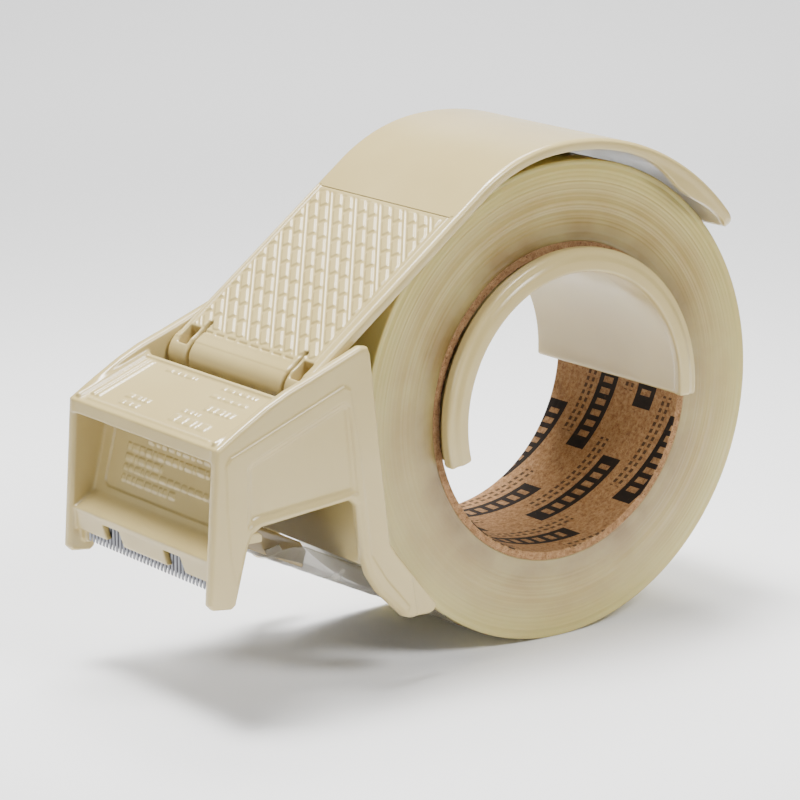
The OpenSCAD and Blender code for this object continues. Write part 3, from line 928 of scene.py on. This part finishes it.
def build_pin():
    """The hinge pin, with a small chamfer at each end."""
    half = span("hinge_pin")[1][1]
    chamfer = 0.4
    centre_r = 0.01
    left = [(half - chamfer, PIN_R), (half, PIN_R - chamfer), (half, centre_r)]
    right = [(-y, r) for y, r in reversed(left)]
    verts, faces = lathe(np.array(right + left), 64)
    verts = verts + [HINGE[0], 0, HINGE[2]]
    add_mesh("hinge_pin_rod", verts, faces[:, ::-1], "head", PIN, ["hinge_pin"])


def build_film():
    """The loose end of tape: flat off the roll, then its near edge curls and creases."""
    slope = math.radians(25.3)
    run = np.array([-math.cos(slope), math.sin(slope)])
    out = np.array([-math.sin(slope), -math.cos(slope)])
    start = (ROLL_R + 0.15) * out
    length = 67.0
    curl_width = 10.0
    waves = 18
    rng = np.random.default_rng(7)
    along = np.linspace(0, 1, 200 if FINE else 80)
    across = np.linspace(-TAPE_HALF, TAPE_HALF, 120 if FINE else 60)
    t, w = np.meshgrid(along, across, indexing="ij")
    rising = np.clip((t - 0.1) / 0.3, 0, 1)
    ending = np.clip((1 - t) / 0.12, 0, 1)
    curl = 0.05 + 1.35 * rising * rising * (3 - 2 * rising) * (0.45 + 0.55 * ending)
    past = np.maximum(curl_width - TAPE_HALF - w, 0)
    bend = curl_width / curl
    y = np.where(past > 0, curl_width - TAPE_HALF - bend * np.sin(past / bend), w)
    lift = np.where(past > 0, bend * (1 - np.cos(past / bend)), 0)
    far_edge = np.clip((w - 16) / 8, 0, 1)
    lift += 1.2 * far_edge ** 2 * rising * ending
    wave = np.zeros_like(t)
    for _ in range(waves):
        phase = rng.uniform(0, 6.28)
        a = rng.uniform(15, 90)
        b = rng.uniform(-0.7, 0.7)
        wave += np.sin(a * t + b * w + phase) * rng.uniform(0.05, 0.3) * 25 / (25 + a)
    near = np.clip((-w - 8) / 14, 0, 1)
    crumple = np.exp(-((t - 0.4) / 0.1) ** 2) + 0.5 * np.exp(-((t - 0.88) / 0.07) ** 2)
    strength = 0.08 + near * (0.1 + 0.9 * crumple)
    lift += wave * rising * strength * np.clip((1 - t) / 0.03, 0, 1)
    lift = np.maximum(lift, 0.02)
    nose = np.clip((t - 0.985) / 0.015, 0, 1)
    x = start[0] + run[0] * length * t - out[0] * lift
    z = start[1] + run[1] * length * t - out[1] * lift + nose * 1.5
    verts = np.stack([x, y, z], -1).reshape(-1, 3)
    faces = lattice_faces(*t.shape)
    film = add_mesh("loose_tape_end", verts, faces, "head", FILM, ["tape_tail"])
    solid = film.modifiers.new("thickness", "SOLIDIFY")
    solid.thickness = 0.08 * MM


# ---- Roll ----


def build_roll():
    """The wound tape: its end faces wander a little from turn to turn."""
    rng = np.random.default_rng(3)
    radii = np.linspace(CORE_OUT - 0.1, ROLL_R - 0.25, 90)
    wander = np.cumsum(rng.normal(0, 0.035, len(radii)))
    wander -= np.linspace(wander[0], wander[-1], len(radii))
    offset = 0.12 + np.clip(wander, -0.1, 0.25)
    right = np.stack([-TAPE_HALF + offset, radii], 1)
    left = np.stack([TAPE_HALF - offset[::-1], radii[::-1]], 1)
    edge = [(-TAPE_HALF + 0.25, ROLL_R - 0.06), (-TAPE_HALF + 0.6, ROLL_R)]
    mirrored = [(-a, r) for a, r in reversed(edge)]
    profile = np.concatenate([right, edge, mirrored, left])
    verts, faces = lathe(profile)
    add_mesh("wound_tape_roll", verts, faces, "roll", WINDING, ["wound_tape"])


def build_core():
    """The board tube: plies show as fine steps at its ends and a seam spirals round inside."""
    plies = 5
    step = CORE_WALL / plies
    right = []
    for i in range(plies):
        r = CORE_IN + i * step
        right.append((-TAPE_HALF + 0.12, r + 0.04))
        right.append((-TAPE_HALF, r + 0.12))
        right.append((-TAPE_HALF, r + step - 0.1))
    left = [(-a, r) for a, r in reversed(right)]
    inner = [(a, CORE_IN) for a in np.linspace(TAPE_HALF - 0.3, -TAPE_HALF + 0.3, 97)]
    profile = np.array(right + left + inner)
    turns = 480
    verts, faces = lathe(profile, turns)
    angle = np.arctan2(verts[:, 2], verts[:, 0])
    radius = np.hypot(verts[:, 0], verts[:, 2])
    seam_pitch = 60.0
    seam_half = 0.35
    seam_depth = 0.22
    along = np.mod(verts[:, 1] + angle * seam_pitch / (2 * math.pi) + 13, seam_pitch)
    off_seam = (along - seam_pitch / 2) / seam_half
    groove = np.exp(-(off_seam ** 2)) * seam_depth * (radius < CORE_IN + 0.02)
    scale = (radius + groove) / radius
    verts[:, 0] *= scale
    verts[:, 2] *= scale
    add_mesh("board_core", verts, faces, "roll", KRAFT, ["cardboard_core"])


# ---- Camera, light and floor ----


def add_camera():
    """The view from the front right and slightly above, with a long lens."""
    azimuth = math.radians(-36.87)
    elevation = math.radians(14.07)
    distance = 0.87039
    target = point(-32.06, 0, 0.44)
    away = Vector((
        math.sin(azimuth) * math.cos(elevation),
        -math.cos(azimuth) * math.cos(elevation),
        math.sin(elevation),
    ))
    data = bpy.data.cameras.new("camera")
    data.lens = 158.55
    data.sensor_width = 36
    camera = bpy.data.objects.new("camera", data)
    camera.location = target + away * distance
    camera.rotation_euler = (-away).to_track_quat("-Z", "Y").to_euler()
    bpy.context.scene.collection.objects.link(camera)
    bpy.context.scene.camera = camera


def add_light(name, place, size, power, spread, aim=(-25, 0, 0)):
    """A square soft box with a grid, aimed at a place in mm from the roll's axis."""
    data = bpy.data.lights.new(name, "AREA")
    data.shape = "SQUARE"
    data.size = size
    data.energy = power
    data.spread = math.radians(spread)
    lamp = bpy.data.objects.new(name, data)
    lamp.location = place
    lamp.rotation_euler = (point(*aim) - Vector(place)).to_track_quat("-Z", "Y").to_euler()
    bpy.context.scene.collection.objects.link(lamp)


def add_floor():
    """A pale sweep that curves up behind the object and darkens out of the camera's sight."""
    half = 1.6
    radius = 0.4
    back = 1.0
    bends = 16
    profile = [(-half, 0.0), (back, 0.0)]
    for i in range(1, bends + 1):
        a = math.pi / 2 * i / bends
        profile.append((back + radius * math.sin(a), radius - radius * math.cos(a)))
    profile.append((back + radius, 1.2))
    verts = [(x, d, z) for d, z in profile for x in (-half, half)]
    mesh = bpy.data.meshes.new("floor")
    faces = [(2 * i, 2 * i + 1, 2 * i + 3, 2 * i + 2) for i in range(len(profile) - 1)]
    mesh.from_pydata(verts, [], faces)
    mesh.shade_smooth()
    shader = Shader("floor")
    parts = shader.node("SeparateXYZ", {0: shader.place})
    aside = shader.remap(shader.math("ABSOLUTE", parts.outputs["X"]), 0.25, 0.6, smooth=True)
    before = shader.remap(parts.outputs["Y"], -0.15, -0.4, smooth=True)
    shade = shader.math("MAXIMUM", aside, before)
    shader.link(shader.mix(shade, (0.9, 0.9, 0.9, 1), (0.5, 0.5, 0.5, 1)), "Base Color")
    shader.set(Roughness=0.8)
    mesh.materials.append(shader.material)
    floor = bpy.data.objects.new("floor", mesh)
    floor.rotation_euler = (0, 0, math.radians(-36.87))
    bpy.context.scene.collection.objects.link(floor)


def add_world():
    """An even white surround."""
    world = bpy.data.worlds.new("surround")
    world.use_nodes = True
    world.node_tree.nodes["Background"].inputs["Color"].default_value = (1, 1, 1, 1)
    world.node_tree.nodes["Background"].inputs["Strength"].default_value = 0.1
    bpy.context.scene.world = world


build_cover()
build_arm()
build_hub()
build_head()
build_comb()
build_blade()
build_pin()
build_film()
build_roll()
build_core()
add_world()
add_floor()
add_light("key", (-0.15, 0.15, 1.2), 0.42, 3.1, 50)
add_light("right", (0.15, -0.9, 0.9), 0.4, 0.85, 40)
add_light("front", (-1.2, -0.45, 0.5), 0.4, 0.2, 35)
add_light("backdrop", (0.45, 0.6, 1.3), 0.6, 14, 120, aim=(480, 640, -60))
add_camera()
